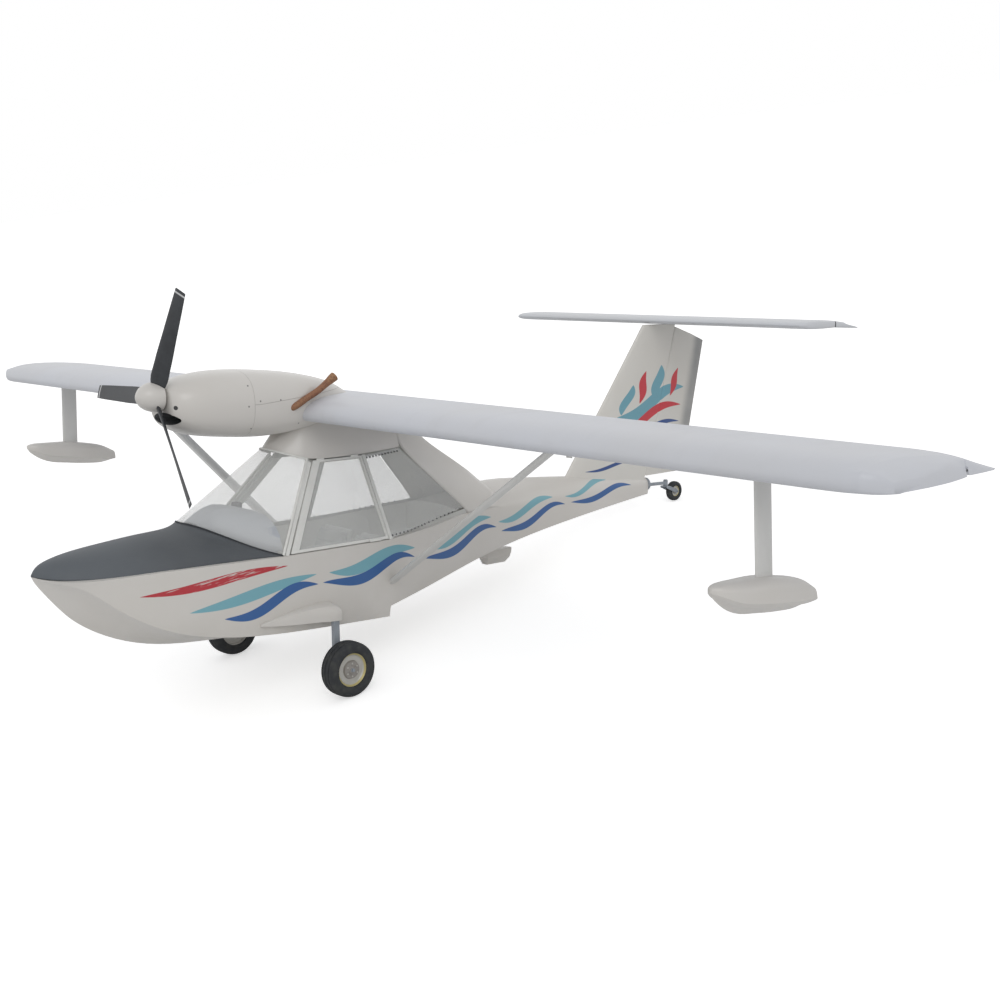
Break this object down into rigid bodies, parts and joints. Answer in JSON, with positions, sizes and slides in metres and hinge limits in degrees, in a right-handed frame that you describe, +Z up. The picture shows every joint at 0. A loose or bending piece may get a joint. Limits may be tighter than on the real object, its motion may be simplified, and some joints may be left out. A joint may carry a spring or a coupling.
{
  "type": "ultralight amphibian aircraft, parked on its wheels",
  "caption": "Amphibian ultralight: boat hull, strut-braced high wing with engine pod and tractor propeller, T-tail, wing floats, gull-wing doors and tail-wheel gear",
  "frame": {"origin": "centre of the footprint on the floor, at the lowest point of the tyres", "axes": "+X to the aircraft's left wing tip, +Y aft, +Z up; the aircraft stands nose-up on its main and tail wheels"},
  "size_m": [10.868, 7.5536, 3.2997],
  "materials": {
    "airframe_paint": "gloss",
    "deck_paint": "satin",
    "cowl_paint": "gloss",
    "clear_glass": "clear",
    "frame_paint": "satin",
    "interior_trim": "matte",
    "panel_plastic": "matte",
    "engine_metal": "satin",
    "rust_exhaust": "satin",
    "propeller_composite": "satin",
    "tyre_rubber": "matte",
    "rim_alloy": "satin",
    "gear_paint": "satin"
  },
  "bodies": {
    "airframe": {"hull": "airframe_paint", "nose_deck": "deck_paint", "windscreen": "clear_glass", "cabin_frame": "frame_paint", "cabin_roof": "airframe_paint", "aft_windows": "clear_glass", "turtledeck": "airframe_paint", "instrument_panel": "panel_plastic", "seats": "interior_trim", "wing": "airframe_paint", "struts": "airframe_paint", "float_posts": "airframe_paint", "floats": "airframe_paint", "nacelle": "cowl_paint", "engine": "engine_metal", "exhaust": "rust_exhaust", "fin": "airframe_paint", "stabilizer": "airframe_paint", "gear_fairings": "airframe_paint", "gear_legs": "gear_paint", "tail_arm": "gear_paint", "hull_pod": "airframe_paint"},
    "doorset_left": {"door_left": "frame_paint", "door_glass_left": "clear_glass"},
    "doorset_right": {"door_right": "frame_paint", "door_glass_right": "clear_glass"},
    "flap_l": {"flap_left": "airframe_paint"},
    "flap_r": {"flap_right": "airframe_paint"},
    "aileron_l": {"aileron_left": "airframe_paint"},
    "aileron_r": {"aileron_right": "airframe_paint"},
    "prop": {"propeller": "propeller_composite", "spinner": "cowl_paint"},
    "rudder_body": {"rudder": "airframe_paint"},
    "elevator_body": {"elevator": "airframe_paint"},
    "wheel_l": {"tyre_left": "tyre_rubber", "rim_left": "rim_alloy"},
    "wheel_r": {"tyre_right": "tyre_rubber", "rim_right": "rim_alloy"},
    "tail_steer": {"tail_fork": "gear_paint"},
    "tail_wheel": {"tail_tyre": "tyre_rubber", "tail_rim": "rim_alloy"}
  },
  "joints": [
    {"name": "propeller_spin", "type": "hinge", "parent": "airframe", "child": "prop", "pos_m": [0, -2.53759, 2.50461], "axis": [0, -0.9826, 0.186], "continuous": true},
    {"name": "main_wheel_left", "type": "hinge", "parent": "airframe", "child": "wheel_l", "pos_m": [0.84, -1.85086, 0.218], "axis": [1, 0, 0], "continuous": true},
    {"name": "main_wheel_right", "type": "hinge", "parent": "airframe", "child": "wheel_r", "pos_m": [-0.84, -1.85086, 0.218], "axis": [1, 0, 0], "continuous": true},
    {"name": "rudder_swing", "type": "hinge", "parent": "airframe", "child": "rudder_body", "pos_m": [0, 2.57465, 0.32178], "axis": [0, 0.4435, 0.8963], "range_deg": [-25, 25]},
    {"name": "tail_steering", "type": "hinge", "parent": "airframe", "child": "tail_steer", "pos_m": [0, 2.89565, 0.19487], "axis": [0, 0.186, 0.9826], "range_deg": [-25, 25]},
    {"name": "tail_wheel_spin", "type": "hinge", "parent": "tail_steer", "child": "tail_wheel", "pos_m": [0, 3.01509, 0.1], "axis": [1, 0, 0], "continuous": true},
    {"name": "elevator_tilt", "type": "hinge", "parent": "airframe", "child": "elevator_body", "pos_m": [0, 3.39658, 1.82515], "axis": [1, 0, 0], "range_deg": [-22, 22]},
    {"name": "aileron_tilt_left", "type": "hinge", "parent": "airframe", "child": "aileron_l", "pos_m": [3.06, -0.34929, 1.90067], "axis": [1, 0, 0], "range_deg": [-20, 20]},
    {"name": "aileron_tilt_right", "type": "hinge", "parent": "airframe", "child": "aileron_r", "pos_m": [-3.06, -0.34929, 1.90067], "axis": [1, 0, 0], "range_deg": [-20, 20]},
    {"name": "flap_drop_left", "type": "hinge", "parent": "airframe", "child": "flap_l", "pos_m": [0, -0.34929, 1.90067], "axis": [-1, 0, 0], "range_deg": [0, 30]},
    {"name": "flap_drop_right", "type": "hinge", "parent": "airframe", "child": "flap_r", "pos_m": [0, -0.34929, 1.90067], "axis": [-1, 0, 0], "range_deg": [0, 30]},
    {"name": "door_lift_left", "type": "hinge", "parent": "airframe", "child": "doorset_left", "pos_m": [0.27, -1.21984, 1.69135], "axis": [0, -0.9826, 0.186], "range_deg": [0, 70]},
    {"name": "door_lift_right", "type": "hinge", "parent": "airframe", "child": "doorset_right", "pos_m": [-0.27, -1.21984, 1.69135], "axis": [0, 0.9826, -0.186], "range_deg": [0, 70]}
  ],
  "couplings": [
    {"joint": "aileron_tilt_right", "follows": "aileron_tilt_left", "ratio": -1},
    {"joint": "flap_drop_right", "follows": "flap_drop_left", "ratio": 1},
    {"joint": "tail_steering", "follows": "rudder_swing", "ratio": 1}
  ]
}
